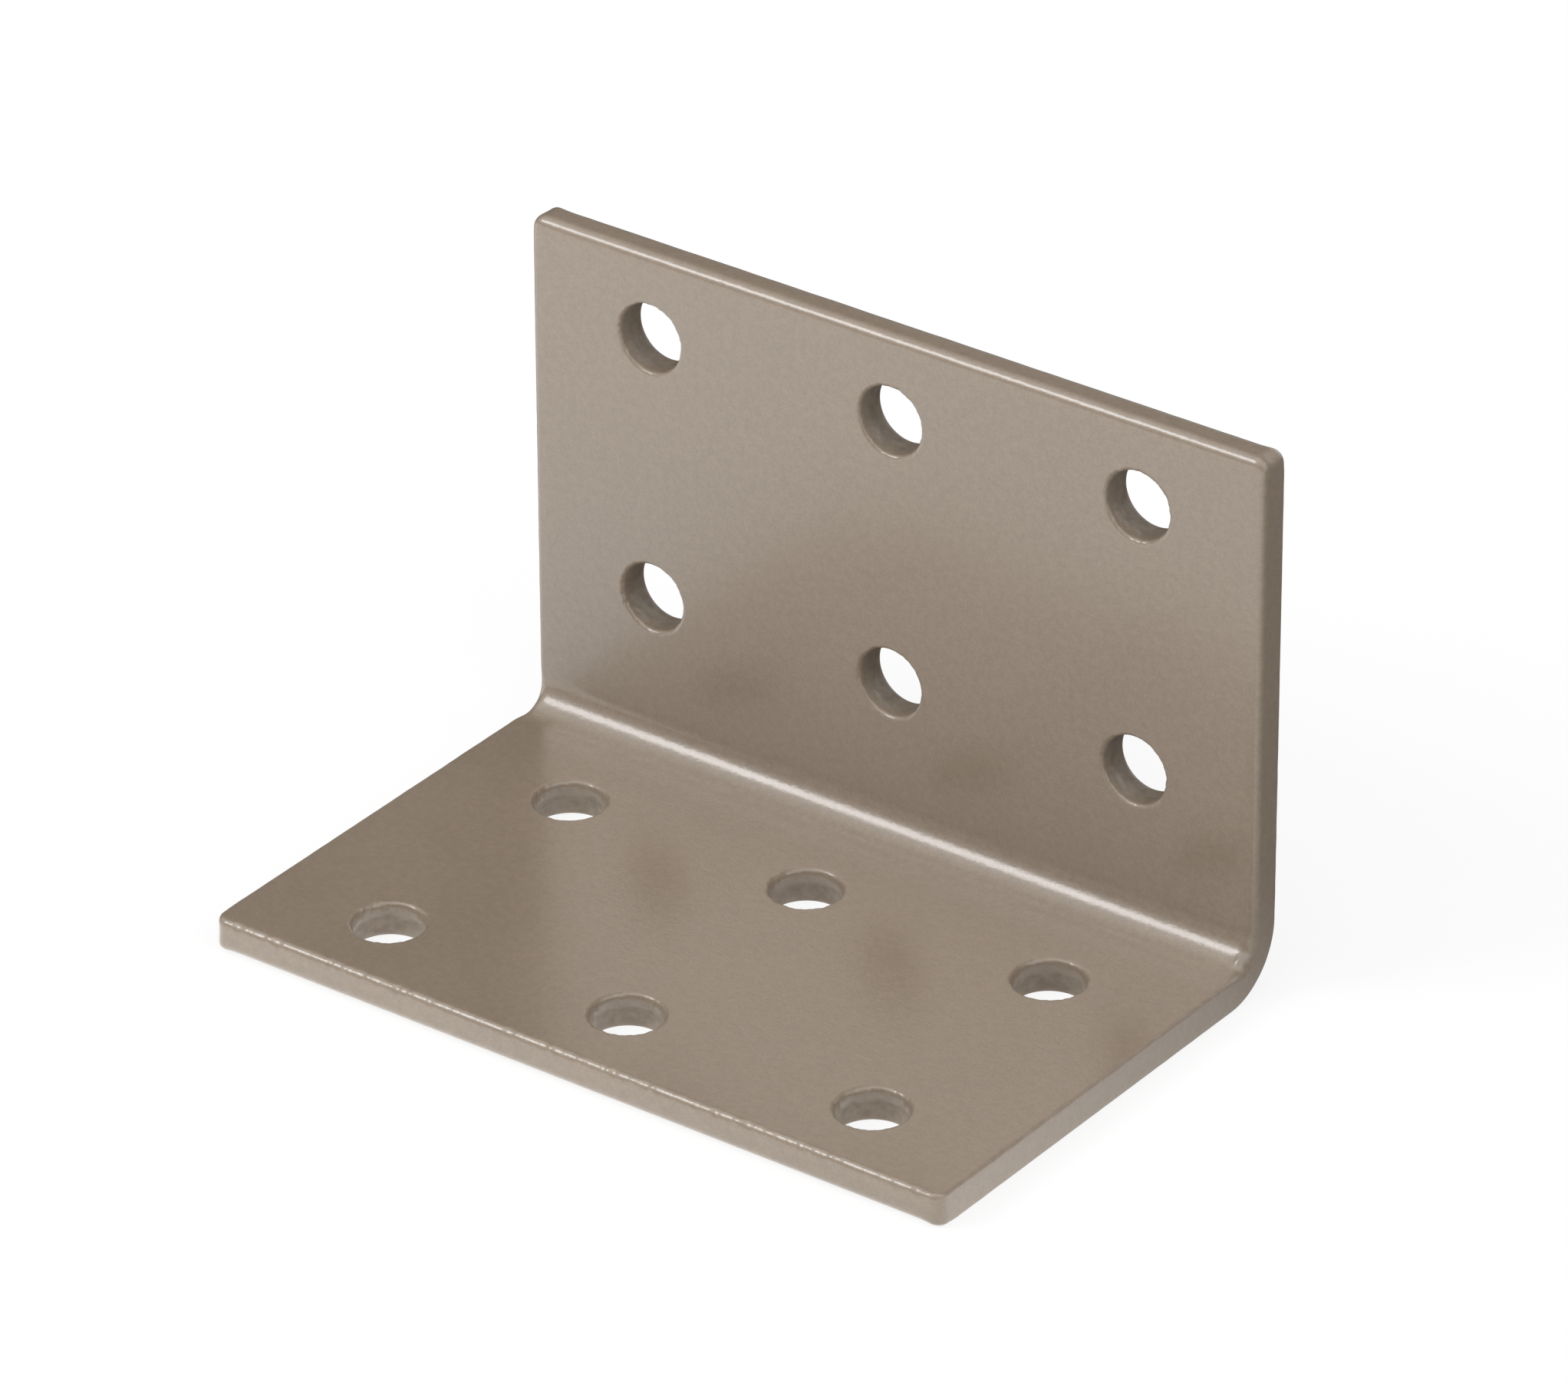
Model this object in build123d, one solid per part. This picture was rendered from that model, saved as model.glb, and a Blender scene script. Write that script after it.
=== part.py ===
from build123d import *
import os

os.makedirs("parts", exist_ok=True)

# A flat steel blank with three columns of punched holes, folded once to a square angle.
# Sizes are in millimetres. X runs along the fold, the base leg lies on Z = 0 and
# reaches forward to -Y, and the wall leg stands at the back with its outer face to +Y.

# Blank and fold
plate_width = 60.0
plate_thickness = 2.5
base_length = 38.5
wall_height = 40.5
inner_fold_radius = 2.5
corner_radius = 1.0

# Sheared ends: the blade draws the metal round where it enters and breaks it off crisp
drawn_edge_radius = 1.0

# Edges softened by tumbling and by the coat, on the inner and the outer side of the fold
inner_edge_radius = 0.4
outer_edge_radius = 0.25

# Hole grid in each leg, counted from the leg's free end
hole_diameter = 5.0
hole_columns = 3
hole_rows = 2
column_pitch = 20.0
row_pitch = 20.0
free_end_to_first_row = 6.5

# Hole wall, punched from the inner side: rolled rim, smooth band, then torn and wider
punch_rim_width = 0.2
punch_rim_depth = 0.4
smooth_band_depth = 0.9
torn_zone_flare = 0.1

# Places worked out from the sizes, with the base centred on the origin
half_width = plate_width / 2
front_end_y = -base_length / 2
wall_face_y = front_end_y + base_length
wall_inner_y = wall_face_y - plate_thickness
outer_fold_radius = inner_fold_radius + plate_thickness
hole_radius = hole_diameter / 2
tool_overshoot = plate_thickness


def folded_section():
    """L section across the fold, with the round fold and the two drawn ends."""
    outline = Polyline(
        (front_end_y, 0),
        (wall_face_y, 0),
        (wall_face_y, wall_height),
        (wall_inner_y, wall_height),
        (wall_inner_y, plate_thickness),
        (front_end_y, plate_thickness),
        close=True,
    )
    section = Plane.YZ * make_face(outline)
    rounds = [
        ((0, wall_face_y, 0), outer_fold_radius),
        ((0, wall_inner_y, plate_thickness), inner_fold_radius),
        ((0, front_end_y, 0), drawn_edge_radius),
        ((0, wall_inner_y, wall_height), drawn_edge_radius),
    ]
    for place, radius in rounds:
        corner = section.vertices().sort_by_distance(place)[0]
        section = fillet(corner, radius)
    return section


def plan_of_base():
    """Upright block with the base's outline as seen from above."""
    outline = Pos(0, 0, -tool_overshoot) * extrude(
        Rectangle(plate_width, base_length), wall_height + 2 * tool_overshoot
    )
    front_corners = outline.edges().filter_by(Axis.Z).group_by(Axis.Y)[0]
    return fillet(front_corners, corner_radius)


def front_of_wall():
    """Level block with the wall's outline as seen from the front."""
    sheet = Plane.XZ * Rectangle(plate_width, wall_height, align=(Align.CENTER, Align.MIN))
    outline = extrude(sheet, amount=base_length, both=True)
    top_corners = outline.edges().filter_by(Axis.Y).group_by(Axis.Z)[-1]
    return fillet(top_corners, corner_radius)


def soften(body, radius, base_z, wall_y):
    """Rounds both side edges of the face pair that meets at base_z and wall_y."""
    base_middle_y = (front_end_y + wall_face_y - outer_fold_radius) / 2
    wall_middle_z = (outer_fold_radius + wall_height) / 2
    side_edges = []
    for x in (-half_width, half_width):
        for place in ((x, base_middle_y, base_z), (x, wall_y, wall_middle_z)):
            side_edges.append(body.edges().sort_by_distance(place)[0])
    return body.fillet(radius, side_edges)


def punch():
    """Shape that one hole removes, entering down -Z from the plate's face at Z = 0."""
    mouth_radius = hole_radius + punch_rim_width
    rim_radius = (punch_rim_width**2 + punch_rim_depth**2) / (2 * punch_rim_width)
    exit_radius = hole_radius + torn_zone_flare
    mouth = Line((0, tool_overshoot), (mouth_radius, tool_overshoot))
    guide = Line(mouth @ 1, (mouth_radius, 0))
    rim = RadiusArc(guide @ 1, (hole_radius, -punch_rim_depth), -rim_radius)
    wall = Polyline(
        rim @ 1,
        (hole_radius, -smooth_band_depth),
        (exit_radius, -plate_thickness),
        (exit_radius, -plate_thickness - tool_overshoot),
        (0, -plate_thickness - tool_overshoot),
    )
    axis_line = Line(wall @ 1, (0, tool_overshoot))
    profile = make_face([mouth, guide, rim, wall, axis_line])
    return revolve(Plane.XZ * profile, Axis.Z)


def hole_places():
    """One plane for each hole, on the inner faces and facing the punch."""
    places = []
    for column in range(hole_columns):
        x = (column - (hole_columns - 1) / 2) * column_pitch
        for row in range(hole_rows):
            inset = free_end_to_first_row + row * row_pitch
            on_base = (x, front_end_y + inset, plate_thickness)
            on_wall = (x, wall_inner_y, wall_height - inset)
            places.append(Plane(on_base, x_dir=(1, 0, 0), z_dir=(0, 0, 1)))
            places.append(Plane(on_wall, x_dir=(1, 0, 0), z_dir=(0, -1, 0)))
    return places


def angle_bracket():
    """The folded plate with its rounded corners, soft edges and punched holes."""
    body = extrude(folded_section(), amount=half_width, both=True)
    body = body & plan_of_base() & front_of_wall()
    body = soften(body, inner_edge_radius, plate_thickness, wall_inner_y)
    body = soften(body, outer_edge_radius, 0, wall_face_y)
    tool = punch()
    return body - [place * tool for place in hole_places()]


export_step(angle_bracket(), "parts/angle_bracket.step")
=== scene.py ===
import math

import bmesh
import bpy
import numpy as np
from mathutils import Matrix, Vector, noise

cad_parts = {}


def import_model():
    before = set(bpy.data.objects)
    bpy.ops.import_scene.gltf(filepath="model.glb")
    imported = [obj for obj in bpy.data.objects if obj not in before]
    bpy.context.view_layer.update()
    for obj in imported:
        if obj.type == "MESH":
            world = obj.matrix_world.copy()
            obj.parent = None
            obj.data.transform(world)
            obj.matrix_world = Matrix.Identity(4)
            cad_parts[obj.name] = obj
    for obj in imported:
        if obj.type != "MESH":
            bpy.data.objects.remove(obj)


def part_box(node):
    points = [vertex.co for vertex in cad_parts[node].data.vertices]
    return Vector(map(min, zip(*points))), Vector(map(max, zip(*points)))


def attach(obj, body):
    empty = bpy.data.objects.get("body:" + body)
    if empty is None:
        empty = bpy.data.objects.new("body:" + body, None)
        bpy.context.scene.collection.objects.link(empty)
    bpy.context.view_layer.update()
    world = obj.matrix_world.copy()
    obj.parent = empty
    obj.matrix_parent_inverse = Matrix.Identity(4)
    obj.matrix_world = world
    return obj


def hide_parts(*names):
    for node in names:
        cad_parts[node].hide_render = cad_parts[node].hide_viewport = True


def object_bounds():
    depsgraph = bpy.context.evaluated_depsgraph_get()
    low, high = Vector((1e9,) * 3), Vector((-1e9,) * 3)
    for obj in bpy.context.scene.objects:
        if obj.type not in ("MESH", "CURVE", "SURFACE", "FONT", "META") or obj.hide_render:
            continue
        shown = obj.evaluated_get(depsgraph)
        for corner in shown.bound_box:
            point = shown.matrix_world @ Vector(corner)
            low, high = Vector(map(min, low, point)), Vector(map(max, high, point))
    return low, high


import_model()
CAD_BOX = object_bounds()

# The node's own box gives the leg lengths. The bracket is in millimetres, all else in metres.
MM = 0.001
LOW, HIGH = [[value / MM for value in corner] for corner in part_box("angle_bracket")]
HALF_WIDTH = (HIGH[0] - LOW[0]) / 2
BASE_LENGTH = HIGH[1] - LOW[1]
WALL_HEIGHT = HIGH[2] - LOW[2]

THICKNESS = 2.5
INNER_FOLD = 2.5
CORNER = 1.0
HOLE_RADIUS = 2.5
HOLE_PITCH = 20.0
FIRST_ROW = 6.5
RIM_WIDTH = 0.30
RIM_DEPTH = 0.36
RIM_DEPTH_SHARE = 0.6
HOLE_SPACING = 9.0
SMOOTH_BAND = 0.9
BAND_LEVELS = (0.6, 0.75)
TORN_ROWS = 8
FLARE = 0.1
TEAR_WANDER = 0.3
TEAR_STEP = 0.2
SCORE_HEIGHT = 0.035
SCORE_STRETCH = 0.5

# Rounds of the plate's edges: on the inner face, on the outer face
BASE_END = (0.62, 0.90)
WALL_END = (0.90, 0.80)
BASE_SIDE = (0.26, 0.22)
WALL_SIDE = (0.52, 0.32)
END_BLEND = 2.2
FOLD_SIDE = 1.15
EAR_HEIGHT = 0.25
LEFT_EAR_SHARE = 0.5
EAR_LENGTH = 0.7
EAR_PLACE = 0.44
BREAK_LEAN = 0.14
CUT_LAYER = 0.02
CUT_ROUGHNESS = 0.018
LEAST_ROUND = 0.1
CALM_LEFT_SIDE = 0.4

# Unevenness in layers: size across, height, seed. Each seed shifts the noise by a stride.
SEED_STRIDE = 17.3
BEADS = ((0.85, 0.18, 1), (0.4, 0.15, 2))
WAVES = ((2.2, 0.05, 3), (0.8, 0.05, 4))
CRISP = ((1.4, 0.025, 5),)
CUT = ((1.3, 1.0, 6),)
TEAR = ((1.1, TEAR_WANDER, 7),)
RUBBLE = ((0.7, 0.03, 8), (0.26, 0.012, 9))
SCORES = ((0.3, SCORE_HEIGHT, 10),)
RIM_BEADS = ((0.8, 0.3, 11), (0.34, 0.34, 12))

# Fold, measured along the plate's middle. Its curvature swells and fades over the ease.
FOLD_RADIUS = INNER_FOLD + THICKNESS / 2
FOLD_EASE = 1.2
FOLD_LENGTH = FOLD_RADIUS * math.pi / 2 + FOLD_EASE


def smooth_step(value):
    value = np.clip(value, 0.0, 1.0)
    return value * value * (3 - 2 * value)


def running_sum(values, step):
    return np.concatenate([[0.0], np.cumsum((values[1:] + values[:-1]) / 2 * step)])


def bend_table():
    """Length, turn and place of the plate's middle line through the fold."""
    along = np.linspace(0, FOLD_LENGTH, 500)
    step = along[1]
    eased = np.minimum(along, FOLD_LENGTH - along) / FOLD_EASE
    turn = running_sum(smooth_step(eased), step)
    turn = turn * math.pi / 2 / turn[-1]
    return along, turn, running_sum(np.cos(turn), step), running_sum(np.sin(turn), step)


BEND = bend_table()
FOLD_REACH = BEND[2][-1]

# Flat blank: S runs from the base's free end, round the fold, to the wall's free end
FOLD_START = BASE_LENGTH - THICKNESS / 2 - FOLD_REACH
FOLD_END = FOLD_START + FOLD_LENGTH
BLANK_LENGTH = FOLD_END + WALL_HEIGHT - THICKNESS / 2 - FOLD_REACH
BASE_ROWS = (FIRST_ROW, FIRST_ROW + HOLE_PITCH)
WALL_ROWS = (BLANK_LENGTH - FIRST_ROW - HOLE_PITCH, BLANK_LENGTH - FIRST_ROW)
COLUMN_LINES = (-HALF_WIDTH, -HOLE_PITCH / 2, HOLE_PITCH / 2, HALF_WIDTH)
ROW_LINES = (
    0.0,
    BASE_ROWS[0] + HOLE_PITCH / 2,
    FOLD_START,
    FOLD_END,
    WALL_ROWS[1] - HOLE_PITCH / 2,
    BLANK_LENGTH,
)

# Cells of the blank, one round each hole. The row in the middle is the fold.
COLUMNS = 3
HOLE_ROWS = (0, 1, 3, 4)
ROW_CENTRES = dict(zip(HOLE_ROWS, BASE_ROWS + WALL_ROWS))

# Mesh steps
FACE_STEP = 0.6
EDGE_STEP = 0.22
CORNER_STEPS = 7
ROUND_STEPS = 8
RIM_STEPS = 5
QUARTER_TURN = np.linspace(0, math.pi / 2, ROUND_STEPS + 1)

# Rings of the mesh round a hole, on the inner and the outer face
RINGS = ((0.0, 0.08, 0.25, 0.6), (0.0, 0.3))
SPREAD = ((0.16, 0.38, 0.64, 0.9, 1.0), (0.4, 0.94, 1.0))
SIDE_STEPS = 5
SHARP_ANGLE = math.radians(50)


def steps(length, step):
    return max(1, round(length / step))


def ripple(x, y, z, size, seed):
    """Smooth noise from -1 to 1 at points given in millimetres."""
    x, y, z = np.broadcast_arrays(x, y, z)
    shift = seed * SEED_STRIDE
    values = [
        noise.noise(Vector((a / size + shift, b / size, c / size)))
        for a, b, c in zip(x.flat, y.flat, z.flat)
    ]
    return np.array(values).reshape(x.shape)


def uneven(x, y, z, layers):
    """Layers of smooth noise laid over each other, at points given in millimetres."""
    total = 0.0
    for size, height, seed in layers:
        total = total + ripple(x, y, z, size, seed) * height
    return total


def fold(x, s, w):
    """Blank coordinates to the bracket: W is the depth below the inner face."""
    along, turn, reach, rise = BEND
    past = s - FOLD_START
    angle = np.interp(past, along, turn)
    on_base = np.minimum(past, 0.0)
    on_wall = np.maximum(s - FOLD_END, 0.0)
    lift = THICKNESS / 2 - w
    y = LOW[1] + FOLD_START + on_base + np.interp(past, along, reach) - lift * np.sin(angle)
    z = LOW[2] + THICKNESS / 2 + on_wall + np.interp(past, along, rise) + lift * np.cos(angle)
    return np.stack([x, y, z], axis=-1)


class Blank:
    """Collects grids of points on the flat blank and welds them into one folded mesh."""

    def __init__(self):
        self.points = []
        self.torn = []
        self.faces = []
        self.count = 0

    def grid(self, x, s, w, torn=None):
        rows, columns = x.shape
        self.points.append(np.stack([x, s, w], axis=-1).reshape(-1, 3))
        self.torn.append(np.zeros(x.size) if torn is None else torn.reshape(-1))
        index = np.arange(x.size).reshape(rows, columns) + self.count
        quads = [index[:-1, :-1], index[:-1, 1:], index[1:, 1:], index[1:, :-1]]
        self.faces.append(np.stack(quads, axis=-1).reshape(-1, 4))
        self.count += x.size

    def mesh(self, name):
        flat = np.concatenate(self.points)
        torn = np.concatenate(self.torn)
        weld = np.round(flat, 4)
        first, index = np.unique(weld, axis=0, return_index=True, return_inverse=True)[1:]
        quads = index.reshape(-1)[np.concatenate(self.faces)]
        faces = []
        for quad in quads.tolist():
            corners = [c for k, c in enumerate(quad) if c != quad[k - 1]]
            if len(corners) > 2:
                faces.append(corners)
        flat = flat[first]
        points = fold(flat[:, 0], flat[:, 1], flat[:, 2]) * MM
        mesh = bpy.data.meshes.new(name)
        mesh.from_pydata(points.tolist(), [], faces)
        layer = mesh.attributes.new("torn", "FLOAT", "POINT")
        layer.data.foreach_set("value", torn[first])
        return mesh


def end_shares(x, s):
    """How far a place on the outline belongs to the base's end and to the wall's end."""
    from_side = HALF_WIDTH - np.abs(x)
    shares = []
    for from_end in (s, BLANK_LENGTH - s):
        lead = (from_side - from_end + END_BLEND) / (2 * END_BLEND)
        shares.append(smooth_step(lead))
    return shares


def bell(s):
    """One in the middle of the fold, nothing past its ends."""
    past = np.clip((s - FOLD_START) / FOLD_LENGTH, 0, 1)
    return np.sin(math.pi * past) ** 2


def edge_rounds(x, s):
    """Inner and outer edge radius at a place on the outline, with their unevenness."""
    base_share, wall_share = end_shares(x, s)
    past_fold = smooth_step((s - FOLD_START) / FOLD_LENGTH)
    rounds = []
    for face in (0, 1):
        size = BASE_SIDE[face] + past_fold * (WALL_SIDE[face] - BASE_SIDE[face])
        if face == 0:
            size = size + bell(s) * (FOLD_SIDE - size)
        size = size + base_share * (BASE_END[face] - size)
        size = size + wall_share * (WALL_END[face] - size)
        rounds.append(size)
    waves = uneven(x, s, 0, WAVES) * np.where(x < 0, CALM_LEFT_SIDE, 1.0)
    inner = rounds[0] + base_share * uneven(x, s, 0, BEADS)
    inner = inner + (1 - base_share - wall_share) * waves
    outer = rounds[1] + uneven(x, s, 0, CRISP) * (1 - base_share)
    return np.maximum(inner, LEAST_ROUND), np.maximum(outer, LEAST_ROUND)


class Outline:
    """Stretch of the blank's outline: points, inward directions and edge radii."""

    def __init__(self, x, s, inward_x, inward_s):
        self.x, self.s = np.array(x, float), np.array(s, float)
        self.inward_x, self.inward_s = np.array(inward_x, float), np.array(inward_s, float)
        self.rounds = edge_rounds(self.x, self.s)

    def inset(self, face):
        size = self.rounds[face]
        return self.x + self.inward_x * size, self.s + self.inward_s * size


def outline_side(a, b, inward):
    """Straight stretch from a to b, split evenly."""
    count = steps(math.dist(a, b), EDGE_STEP)
    share = np.linspace(0, 1, count + 1)
    x = a[0] + (b[0] - a[0]) * share
    s = a[1] + (b[1] - a[1]) * share
    return Outline(x, s, np.full_like(x, inward[0]), np.full_like(x, inward[1]))


def outline_corner(centre, start_angle):
    """Quarter circle round a free corner, counter-clockwise."""
    angle = start_angle + np.linspace(0, math.pi / 2, CORNER_STEPS + 1)
    out_x, out_s = np.cos(angle), np.sin(angle)
    x = centre[0] + CORNER * out_x
    s = centre[1] + CORNER * out_s
    return Outline(x, s, -out_x, -out_s)


def ear(outline, share):
    """Small lip that the fold squeezes up along the plate's side."""
    height = np.where(outline.x > 0, EAR_HEIGHT, LEFT_EAR_SHARE * EAR_HEIGHT)
    along = (outline.s - FOLD_START - EAR_PLACE * FOLD_LENGTH) / EAR_LENGTH
    return height * np.exp(-along * along) * np.sin(math.pi * share) ** 2


def edge_profile(inner, outer):
    """Insets and depths round the plate's edge, before the cut is roughened."""
    offsets, depths = [], []
    for angle in QUARTER_TURN:
        offsets.append(inner * (1 - math.sin(angle)))
        depths.append(inner * (1 - math.cos(angle)))
    for k in range(1, SIDE_STEPS):
        offsets.append(np.zeros_like(inner))
        depths.append(inner + (THICKNESS - outer - inner) * k / SIDE_STEPS)
    for angle in QUARTER_TURN:
        offsets.append(outer * (1 - math.cos(angle)))
        depths.append(THICKNESS - outer + outer * math.sin(angle))
    return np.array(offsets), np.array(depths)


def edge_strip(blank, outline):
    """Edge of the plate, from its inner face round the cut to its outer face."""
    offset, depth = edge_profile(*outline.rounds)
    base_share, wall_share = end_shares(outline.x, outline.s)
    rows = len(offset) - len(QUARTER_TURN)
    on_inner_round = np.pad(1 - np.sin(QUARTER_TURN), (0, rows))
    depth = depth - ear(outline, on_inner_round[:, None])
    share = np.clip(depth / THICKNESS, 0, 1)
    lean = base_share * (1 - share) + wall_share * share
    fade = np.sin(share * math.pi) ** 0.5
    rough = uneven(outline.x[None, :], outline.s[None, :], depth, CUT)
    offset = offset + BREAK_LEAN * lean * fade + (CUT_LAYER + CUT_ROUGHNESS * rough) * fade
    x = outline.x + outline.inward_x * offset
    s = outline.s + outline.inward_s * offset
    blank.grid(x, s, depth)


def cell_sides(column, row):
    """The four sides of one hole's cell, counter-clockwise from its lowest S."""
    x0, x1 = COLUMN_LINES[column], COLUMN_LINES[column + 1]
    s0, s1 = ROW_LINES[row], ROW_LINES[row + 1]
    left, right = column == 0, column == COLUMNS - 1
    low, high = row == HOLE_ROWS[0], row == HOLE_ROWS[-1]
    corners = [(x0, s0), (x1, s0), (x1, s1), (x0, s1)]
    inward = [(0, 1), (-1, 0), (0, -1), (1, 0)]
    outer = [low, right, high, left]
    return corners, inward, outer


def outer_parts(corners, inward, outer):
    """Stretches of the plate's outline along a cell, and the corner arcs after them."""
    parts = [None] * 4
    arcs = [None] * 4
    for k in range(4):
        if not outer[k]:
            continue
        a, b = np.array(corners[k]), np.array(corners[(k + 1) % 4])
        along = (b - a) / np.linalg.norm(b - a)
        if outer[k - 1]:
            a = a + along * CORNER
        if outer[(k + 1) % 4]:
            b = b - along * CORNER
            centre = b + np.array(inward[k]) * CORNER
            arcs[k] = outline_corner(centre, math.pi / 2 * (k - 1))
        parts[k] = outline_side(a, b, inward[k])
    return parts, arcs


def inner_side(k, corners, outer, placed):
    """Straight side between two cells. It meets the outline's inset where there is one."""
    ends = []
    for corner, side, at in ((k, k - 1, -1), (k + 1, k + 1, 0)):
        beside = placed[side % 4] if outer[side % 4] else None
        place = corners[corner % 4]
        ends.append((beside[0][at], beside[1][at]) if beside else place)
    a, b = np.array(ends[0]), np.array(ends[1])
    whole = math.dist(corners[k], corners[(k + 1) % 4])
    share = np.linspace(0, 1, steps(whole, FACE_STEP) + 1)
    return a[0] + (b[0] - a[0]) * share, a[1] + (b[1] - a[1]) * share


def cell_boundary(column, row, face, blank):
    """Boundary points of a cell on one face. The plate's edge is added with face 0."""
    corners, inward, outer = cell_sides(column, row)
    parts, arcs = outer_parts(corners, inward, outer)
    if face == 0:
        for outline in parts + arcs:
            if outline:
                edge_strip(blank, outline)
    placed = [part.inset(face) if part else None for part in parts]
    for k in range(4):
        if not placed[k]:
            placed[k] = inner_side(k, corners, outer, placed)
    xs, ss = [], []
    for k in range(4):
        last = None if arcs[k] else -1
        xs.append(placed[k][0][:last])
        ss.append(placed[k][1][:last])
        if arcs[k]:
            x, s = arcs[k].inset(face)
            xs.append(x[1:-1])
            ss.append(s[1:-1])
    x, s = np.concatenate(xs), np.concatenate(ss)
    return np.append(x, x[0]), np.append(s, s[0])


def hole_centre(column, row):
    return (column - 1) * HOLE_PITCH, ROW_CENTRES[row]


def face_of_cell(blank, column, row, face):
    """Flat ring between a hole's rim and its cell's boundary. Returns the rim's angles."""
    x, s = cell_boundary(column, row, face, blank)
    centre_x, centre_s = hole_centre(column, row)
    angle = np.arctan2(s - centre_s, x - centre_x)
    rim = rim_sizes(column, row, angle)[0] if face == 0 else FLARE
    far = np.hypot(x - centre_x, s - centre_s)
    near = [HOLE_RADIUS + rim + reach + 0 * far for reach in RINGS[face]]
    reach = list(near)
    for share in SPREAD[face]:
        reach.append(near[-1] + (far - near[-1]) * share)
    reach = np.array(reach)
    grid_x = centre_x + reach * np.cos(angle)
    grid_s = centre_s + reach * np.sin(angle)
    grid_x[-1], grid_s[-1] = x, s
    blank.grid(grid_x, grid_s, np.full_like(grid_x, THICKNESS * face))
    return angle


def own_place(column, row, angle):
    """Place on a hole's wall, with a stretch of the noise that belongs to this hole alone."""
    away = HOLE_SPACING * (column + COLUMNS * row)
    return np.cos(angle) * HOLE_RADIUS + away, np.sin(angle) * HOLE_RADIUS


def rim_sizes(column, row, angle):
    """Width and depth of the rolled rim round one hole, a little uneven."""
    x, s = own_place(column, row, angle)
    beads = uneven(x, s, 0, RIM_BEADS)
    return RIM_WIDTH * (1 + beads), RIM_DEPTH * (1 + RIM_DEPTH_SHARE * beads)


def wall_profile(width, drop):
    """Radii and depths down a hole's wall, before it is roughened."""
    radius, depth = [], []
    for k in range(RIM_STEPS + 1):
        a = math.pi / 2 * k / RIM_STEPS
        radius.append(HOLE_RADIUS + width * (1 - math.sin(a)))
        depth.append(drop * (1 - math.cos(a)))
    for level in BAND_LEVELS:
        radius.append(HOLE_RADIUS + 0 * width)
        depth.append(level + 0 * width)
    for level in np.linspace(SMOOTH_BAND, THICKNESS, TORN_ROWS):
        share = (level - SMOOTH_BAND) / (THICKNESS - SMOOTH_BAND)
        radius.append(HOLE_RADIUS + FLARE * share + 0 * width)
        depth.append(level + 0 * width)
    return np.array(radius), np.array(depth)


def hole_wall(blank, column, row, angle_in, angle_out):
    """Rolled rim, scored smooth band and torn zone of one hole."""
    centre_x, centre_s = hole_centre(column, row)
    width, drop = rim_sizes(column, row, angle_in)
    radius, depth = wall_profile(width, drop)
    turn = np.angle(np.exp(1j * (angle_out - angle_in)))
    angle = angle_in + turn * depth / THICKNESS
    x, s = own_place(column, row, angle)
    tear = SMOOTH_BAND + uneven(x[0], s[0], 0, TEAR)
    torn = smooth_step((depth - tear) / TEAR_STEP)
    rough = torn * uneven(x, s, depth, RUBBLE)
    rough[0] = rough[-1] = 0
    below_rim = np.clip(depth / RIM_DEPTH, 0, 1)
    scored = (1 - torn) * uneven(x, s, depth * SCORE_STRETCH, SCORES) * below_rim
    radius = radius + rough + scored
    grid_x = centre_x + radius * np.cos(angle)
    grid_s = centre_s + radius * np.sin(angle)
    blank.grid(grid_x, grid_s, depth, torn)


def fold_strip(blank, face):
    """Band between the legs on one face, with its side edges."""
    count = steps(HOLE_PITCH, FACE_STEP)
    ends = []
    for x, inward in ((-HALF_WIDTH, 1), (HALF_WIDTH, -1)):
        side = outline_side((x, FOLD_START), (x, FOLD_END), (inward, 0))
        if face == 0:
            edge_strip(blank, side)
        ends.append(side.inset(face)[0])
    lines = [ends[0], np.full_like(ends[0], COLUMN_LINES[1])]
    lines += [np.full_like(ends[0], COLUMN_LINES[2]), ends[1]]
    share = np.linspace(0, 1, count + 1)[None, :]
    level = np.linspace(FOLD_START, FOLD_END, len(ends[0]))[:, None]
    for a, b in zip(lines, lines[1:]):
        x = a[:, None] + (b - a)[:, None] * share
        blank.grid(x, level + 0 * x, np.full_like(x, THICKNESS * face))


def bracket_mesh():
    blank = Blank()
    for row in HOLE_ROWS:
        for column in range(COLUMNS):
            inner_angle = face_of_cell(blank, column, row, 0)
            outer_angle = face_of_cell(blank, column, row, 1)
            hole_wall(blank, column, row, inner_angle, outer_angle)
    fold_strip(blank, 0)
    fold_strip(blank, 1)
    return blank.mesh("bracket_shell")


def bracket(material):
    """The coated bracket as one closed mesh that stands for the CAD node."""
    mesh = bracket_mesh()
    shell = bmesh.new()
    shell.from_mesh(mesh)
    bmesh.ops.recalc_face_normals(shell, faces=shell.faces)
    shell.to_mesh(mesh)
    shell.free()
    mesh.polygons.foreach_set("use_smooth", [True] * len(mesh.polygons))
    mesh.set_sharp_from_angle(angle=SHARP_ANGLE)
    mesh.materials.append(material)
    piece = bpy.data.objects.new("coated_bracket", mesh)
    bpy.context.scene.collection.objects.link(piece)
    weighted = piece.modifiers.new("flat faces keep their normals", "WEIGHTED_NORMAL")
    weighted.keep_sharp = True
    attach(piece, "root")
    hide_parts("angle_bracket")
    return piece


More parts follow.
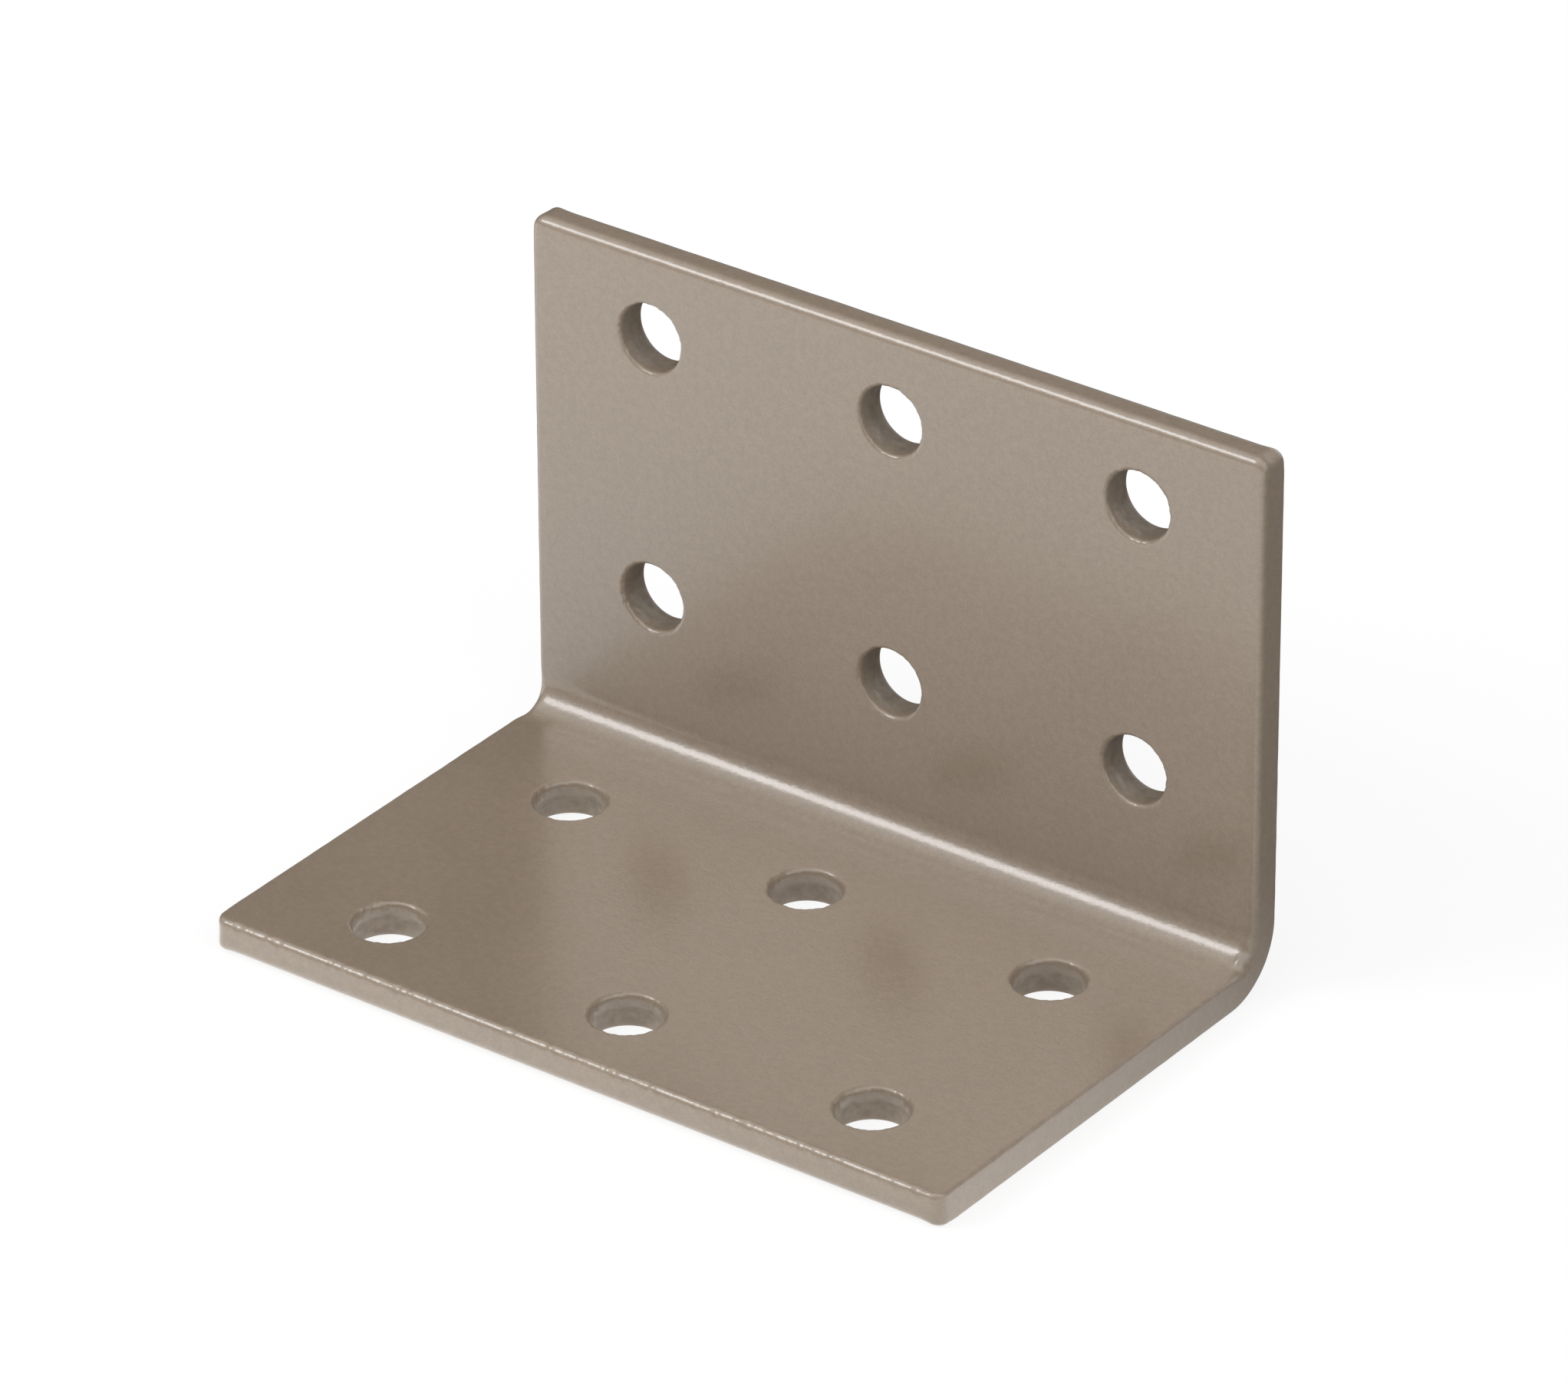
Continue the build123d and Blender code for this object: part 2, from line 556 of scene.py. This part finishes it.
# Coat: noise scales per metre, levels of noise, shares of the grain, and linear colours
CLOUD_SCALE = 90.0
MEDIUM_SCALE = 1900.0
FINE_SCALE = 5200.0
SPECKLE_SCALE = 1500.0
RUBBLE_SCALE = 3200.0
PEEL_BROAD_SCALE = 1100.0
PEEL_FINE_SCALE = 3600.0
PEEL_BROAD_SHARE = 0.8
PEEL_STRENGTH = 0.6
PEEL_HEIGHT = 0.00002
CLOUD_SPAN = (0.35, 0.65)
GRAIN_SPAN = (0.3, 0.7)
SPECKLE_SPAN = (0.34, 0.66)
CLOUD_SHARE = 0.14
MEDIUM_SHARE = 0.40
FINE_SHARE = 0.46
COAT_ROUGHNESS = (0.36, 0.44)
TORN_ROUGHNESS = 0.2
TORN_SHEEN = 0.3
COAT_LIGHT = (0.296, 0.231, 0.171, 1)
COAT_DARK = (0.230, 0.180, 0.133, 1)
# Torn hole walls: rubble mottling, with both colours darkened partly as painted shade inside the
# holes
TORN_PALE_WITH_SHADE = (0.272, 0.218, 0.163, 1)
TORN_DEEP_WITH_SHADE = (0.200, 0.156, 0.115, 1)


class Nodes:
    """Short calls for building a node tree."""

    def __init__(self, tree):
        self.tree = tree
        tree.nodes.clear()

    def add(self, kind, **settings):
        node = self.tree.nodes.new(kind)
        for key, value in settings.items():
            if hasattr(node, key):
                setattr(node, key, value)
            else:
                node.inputs[key.replace("_", " ").title()].default_value = value
        return node

    def link(self, source, target):
        self.tree.links.new(source, target)

    def noise(self, place, scale, detail, roughness):
        node = self.add("ShaderNodeTexNoise", scale=scale, detail=detail, roughness=roughness)
        self.link(place, node.inputs["Vector"])
        return node.outputs["Fac"]

    def span(self, value, low, high, to_low=0.0, to_high=1.0, smooth=False):
        kind = "SMOOTHSTEP" if smooth else "LINEAR"
        node = self.add("ShaderNodeMapRange", interpolation_type=kind)
        self.link(value, node.inputs["Value"])
        for key, number in (
            ("From Min", low),
            ("From Max", high),
            ("To Min", to_low),
            ("To Max", to_high),
        ):
            node.inputs[key].default_value = number
        return node.outputs["Result"]

    def mix(self, share, a, b):
        node = self.add("ShaderNodeMix", data_type="RGBA")
        self.link(share, node.inputs["Factor"])
        for key, value in (("A", a), ("B", b)):
            socket = [i for i in node.inputs if i.name == key and i.type == "RGBA"][0]
            if isinstance(value, tuple):
                socket.default_value = value
            else:
                self.link(value, socket)
        return [o for o in node.outputs if o.type == "RGBA"][0]

    def sum(self, a, b, kind="ADD"):
        node = self.add("ShaderNodeMath", operation=kind)
        for socket, value in zip(node.inputs, (a, b)):
            if isinstance(value, float):
                socket.default_value = value
            else:
                self.link(value, socket)
        return node.outputs["Value"]

    def blend(self, share, a, b):
        node = self.add("ShaderNodeMixShader")
        self.link(share, node.inputs["Fac"])
        self.link(a, node.inputs[1])
        self.link(b, node.inputs[2])
        return node.outputs["Shader"]


def coat_colour(n, place, torn, cloud):
    """Grain and faint clouding of the coat, and the rubble of the torn hole walls, whose colours are
    darkened partly as painted shade inside the holes.
    """
    fine = n.span(n.noise(place, FINE_SCALE, 1.0, 0.5), *GRAIN_SPAN, 0.0, FINE_SHARE)
    medium = n.span(n.noise(place, MEDIUM_SCALE, 1.0, 0.5), *GRAIN_SPAN, 0.0, MEDIUM_SHARE)
    tone = n.sum(n.sum(fine, medium), n.sum(cloud, CLOUD_SHARE, "MULTIPLY"))
    coat = n.mix(tone, COAT_DARK, COAT_LIGHT)
    speckle = n.span(n.noise(place, SPECKLE_SCALE, 3.0, 0.55), *SPECKLE_SPAN)
    rubble = n.mix(speckle, TORN_DEEP_WITH_SHADE, TORN_PALE_WITH_SHADE)
    return n.mix(torn, coat, rubble)


def coat_peel(n, place, torn):
    """Orange peel of the coat as a bump, rougher on the torn hole walls."""
    broad = n.sum(n.noise(place, PEEL_BROAD_SCALE, 2.0, 0.5), PEEL_BROAD_SHARE, "MULTIPLY")
    peel = n.sum(broad, n.noise(place, PEEL_FINE_SCALE, 2.0, 0.6))
    rubble = n.noise(place, RUBBLE_SCALE, 2.0, 0.6)
    bump = n.add("ShaderNodeBump")
    bump.inputs["Strength"].default_value = PEEL_STRENGTH
    bump.inputs["Distance"].default_value = PEEL_HEIGHT
    n.link(n.sum(peel, n.sum(torn, rubble, "MULTIPLY")), bump.inputs["Height"])
    return bump.outputs["Normal"]


def coat_material():
    """Satin grey-brown coat on the plate, duller where a hole's wall is torn."""
    material = bpy.data.materials.new("satin_coat")
    material.use_nodes = True
    n = Nodes(material.node_tree)
    place = n.add("ShaderNodeTexCoord").outputs["Object"]
    torn = n.add("ShaderNodeAttribute", attribute_name="torn").outputs["Fac"]
    cloud = n.span(n.noise(place, CLOUD_SCALE, 3.0, 0.5), *CLOUD_SPAN)
    roughness = n.span(cloud, 0.0, 1.0, *COAT_ROUGHNESS)
    roughness = n.sum(roughness, n.sum(torn, TORN_ROUGHNESS, "MULTIPLY"))
    normal = coat_peel(n, place, torn)

    shader = n.add("ShaderNodeBsdfPrincipled")
    n.link(coat_colour(n, place, torn, cloud), shader.inputs["Base Color"])
    n.link(roughness, shader.inputs["Roughness"])
    n.link(n.span(torn, 0.0, 1.0, 1.0, TORN_SHEEN), shader.inputs["Coat Weight"])
    n.link(normal, shader.inputs["Normal"])
    n.link(normal, shader.inputs["Coat Normal"])
    shader.inputs["IOR"].default_value = 1.5
    shader.inputs["Specular IOR Level"].default_value = 0.5
    shader.inputs["Coat Roughness"].default_value = 0.2
    shader.inputs["Coat IOR"].default_value = 1.5
    output = n.add("ShaderNodeOutputMaterial")
    n.link(shader.outputs["BSDF"], output.inputs["Surface"])
    return material


# Camera, fitted to the photograph's outline and hole rims. The lens is in millimetres.
VIEW_AZIMUTH = math.radians(36.484)
VIEW_ELEVATION = math.radians(29.657)
VIEW_ROLL = math.radians(-0.244)
VIEW_DISTANCE = 0.726917
VIEW_TARGET = Vector((-0.00328, 0.00925, 0.015881))
VIEW_LENS = 249.2
SENSOR_WIDTH = 36.0


def camera():
    back = Vector((
        math.sin(VIEW_AZIMUTH) * math.cos(VIEW_ELEVATION),
        -math.cos(VIEW_AZIMUTH) * math.cos(VIEW_ELEVATION),
        math.sin(VIEW_ELEVATION),
    ))
    right = Vector((math.cos(VIEW_AZIMUTH), math.sin(VIEW_AZIMUTH), 0))
    up = back.cross(right)
    rolled_right = right * math.cos(VIEW_ROLL) + up * math.sin(VIEW_ROLL)
    rolled_up = up * math.cos(VIEW_ROLL) - right * math.sin(VIEW_ROLL)
    turn = Matrix((rolled_right, rolled_up, back)).transposed().to_4x4()
    data = bpy.data.cameras.new("camera")
    data.lens = VIEW_LENS
    data.sensor_width = SENSOR_WIDTH
    data.clip_start = 0.01
    data.clip_end = 100
    eye = bpy.data.objects.new("camera", data)
    eye.matrix_world = Matrix.Translation(VIEW_TARGET + back * VIEW_DISTANCE) @ turn
    bpy.context.scene.collection.objects.link(eye)
    bpy.context.scene.camera = eye


# Lights
KEY_DIRECTION = Vector((-0.514, -0.582, 0.631))
KEY_DISTANCE = 1.0
KEY_SIZE = 0.36
KEY_POWER = 3.0
LIT_CENTRE = Vector((0, 0, 0.015))


def area_light(name, direction, distance, size, power):
    data = bpy.data.lights.new(name, "AREA")
    data.shape = "DISK"
    data.size = size
    data.energy = power
    lamp = bpy.data.objects.new(name, data)
    lamp.location = LIT_CENTRE + direction.normalized() * distance
    lamp.rotation_euler = direction.to_track_quat("Z", "Y").to_euler()
    bpy.context.scene.collection.objects.link(lamp)


# Soft light of the studio: azimuth, elevation, cosine where it fades out, strength
SURROUND = 0.05
GLOWS = {
    "broad box round the key": (305, 50, 0.60, 0.72),
    "softer light overhead": (0, 70, 0.68, 1.12),
    "light on the right": (82, 33, 0.70, 1.6),
    "fill behind": (174, 8, 0.74, 1.4),
    "light from below, behind the floor": (0, -90, 0.05, 1.3),
}
BACKGROUND = 1.0


def towards(azimuth, elevation):
    """Direction at an azimuth counted from the front to the right."""
    a, e = math.radians(azimuth), math.radians(elevation)
    return (math.sin(a) * math.cos(e), -math.cos(a) * math.cos(e), math.sin(e))


def world():
    space = bpy.data.worlds.new("studio")
    bpy.context.scene.world = space
    space.use_nodes = True
    n = Nodes(space.node_tree)
    direction = n.add("ShaderNodeTexCoord").outputs["Generated"]
    strength = SURROUND
    for label, (azimuth, elevation, fade, level) in GLOWS.items():
        dot = n.add("ShaderNodeVectorMath", operation="DOT_PRODUCT", label=label)
        n.link(direction, dot.inputs[0])
        dot.inputs[1].default_value = towards(azimuth, elevation)
        glow = n.span(dot.outputs["Value"], fade, 1.0, 0.0, level, smooth=True)
        strength = n.sum(glow, strength)
    seen = n.add("ShaderNodeLightPath").outputs["Is Camera Ray"]
    room = n.add("ShaderNodeBackground")
    n.link(strength, room.inputs["Strength"])
    backdrop = n.add("ShaderNodeBackground")
    backdrop.inputs["Strength"].default_value = BACKGROUND
    for node in (room, backdrop):
        node.inputs["Color"].default_value = (1, 1, 1, 1)
    choice = n.blend(seen, room.outputs["Background"], backdrop.outputs["Background"])
    output = n.add("ShaderNodeOutputWorld")
    n.link(choice, output.inputs["Surface"])


FLOOR_SIZE = 6.0
FLOOR_GAP = 0.00002
FLOOR_BOUNCE = (0.12, 0.12, 0.12, 1)

# The floor is a lit table: its light on the part, and the white that the camera sees
TABLE_FRONT = (-0.4, -0.917, 0.0)
TABLE_REACH = (-0.065, 0.030)
TABLE_LIGHT = (0.03, 1.28)
TABLE_SEEN = 0.84
# Painted shadow of the bracket in the table's light: its share under the base leg, its edge, and its
# fade behind the wall leg
COVERED_LIGHT = 0.85
COVER_EDGE = (-0.002, -0.001)
WALL_SHADE = (0.014, 0.032)
SHADOW_TINT = (0.16, 0.16, 0.16, 1)


def lit_surface(n, colour, light):
    """Diffuse colour with a light of its own."""
    white = n.add("ShaderNodeBsdfDiffuse")
    white.inputs["Color"].default_value = colour
    glow = n.add("ShaderNodeEmission")
    if isinstance(light, float):
        glow.inputs["Strength"].default_value = light
    else:
        n.link(light, glow.inputs["Strength"])
    both = n.add("ShaderNodeAddShader")
    n.link(white.outputs["BSDF"], both.inputs[0])
    n.link(glow.outputs["Emission"], both.inputs[1])
    return both.outputs["Shader"]


def unshaded_table_share(n, place):
    """Painted shadow of the bracket in the table's light: one in front of the wall leg, less under
    the base leg, nothing behind the wall leg.
    """
    axes = n.add("ShaderNodeSeparateXYZ")
    n.link(place, axes.inputs["Vector"])
    past_side = n.sum(n.sum(axes.outputs["X"], 0.0, "ABSOLUTE"), HALF_WIDTH * MM, "SUBTRACT")
    past_end = n.sum(n.sum(axes.outputs["Y"], 0.0, "ABSOLUTE"), BASE_LENGTH / 2 * MM, "SUBTRACT")
    past_edge = n.sum(past_side, past_end, "MAXIMUM")
    beside = n.span(past_edge, *COVER_EDGE, COVERED_LIGHT, 1.0)
    in_front = n.span(axes.outputs["Y"], *WALL_SHADE, 1.0, 0.0)
    return n.sum(beside, in_front, "MULTIPLY")


def floor_material():
    """Pale lit table. Its light reaches the part from the front and the left."""
    material = bpy.data.materials.new("pale_floor")
    material.use_nodes = True
    n = Nodes(material.node_tree)
    place = n.add("ShaderNodeTexCoord").outputs["Object"]
    forward = n.add("ShaderNodeVectorMath", operation="DOT_PRODUCT")
    n.link(place, forward.inputs[0])
    forward.inputs[1].default_value = TABLE_FRONT
    light = n.span(forward.outputs["Value"], *TABLE_REACH, *TABLE_LIGHT, smooth=True)
    light = n.sum(light, unshaded_table_share(n, place), "MULTIPLY")
    on_part = lit_surface(n, FLOOR_BOUNCE, light)
    in_view = lit_surface(n, SHADOW_TINT, TABLE_SEEN)
    seen = n.add("ShaderNodeLightPath").outputs["Is Camera Ray"]
    output = n.add("ShaderNodeOutputMaterial")
    n.link(n.blend(seen, on_part, in_view), output.inputs["Surface"])
    return material


def floor():
    half = FLOOR_SIZE / 2
    level = CAD_BOX[0][2] - FLOOR_GAP
    corners = [(-half, -half, level), (half, -half, level), (half, half, level), (-half, half, level)]
    mesh = bpy.data.meshes.new("floor")
    mesh.from_pydata(corners, [], [(0, 1, 2, 3)])
    mesh.materials.append(floor_material())
    ground = bpy.data.objects.new("floor", mesh)
    bpy.context.scene.collection.objects.link(ground)


bpy.context.scene.view_settings.view_transform = "Standard"
bracket(coat_material())
floor()
world()
area_light("key", KEY_DIRECTION, KEY_DISTANCE, KEY_SIZE, KEY_POWER)
camera()
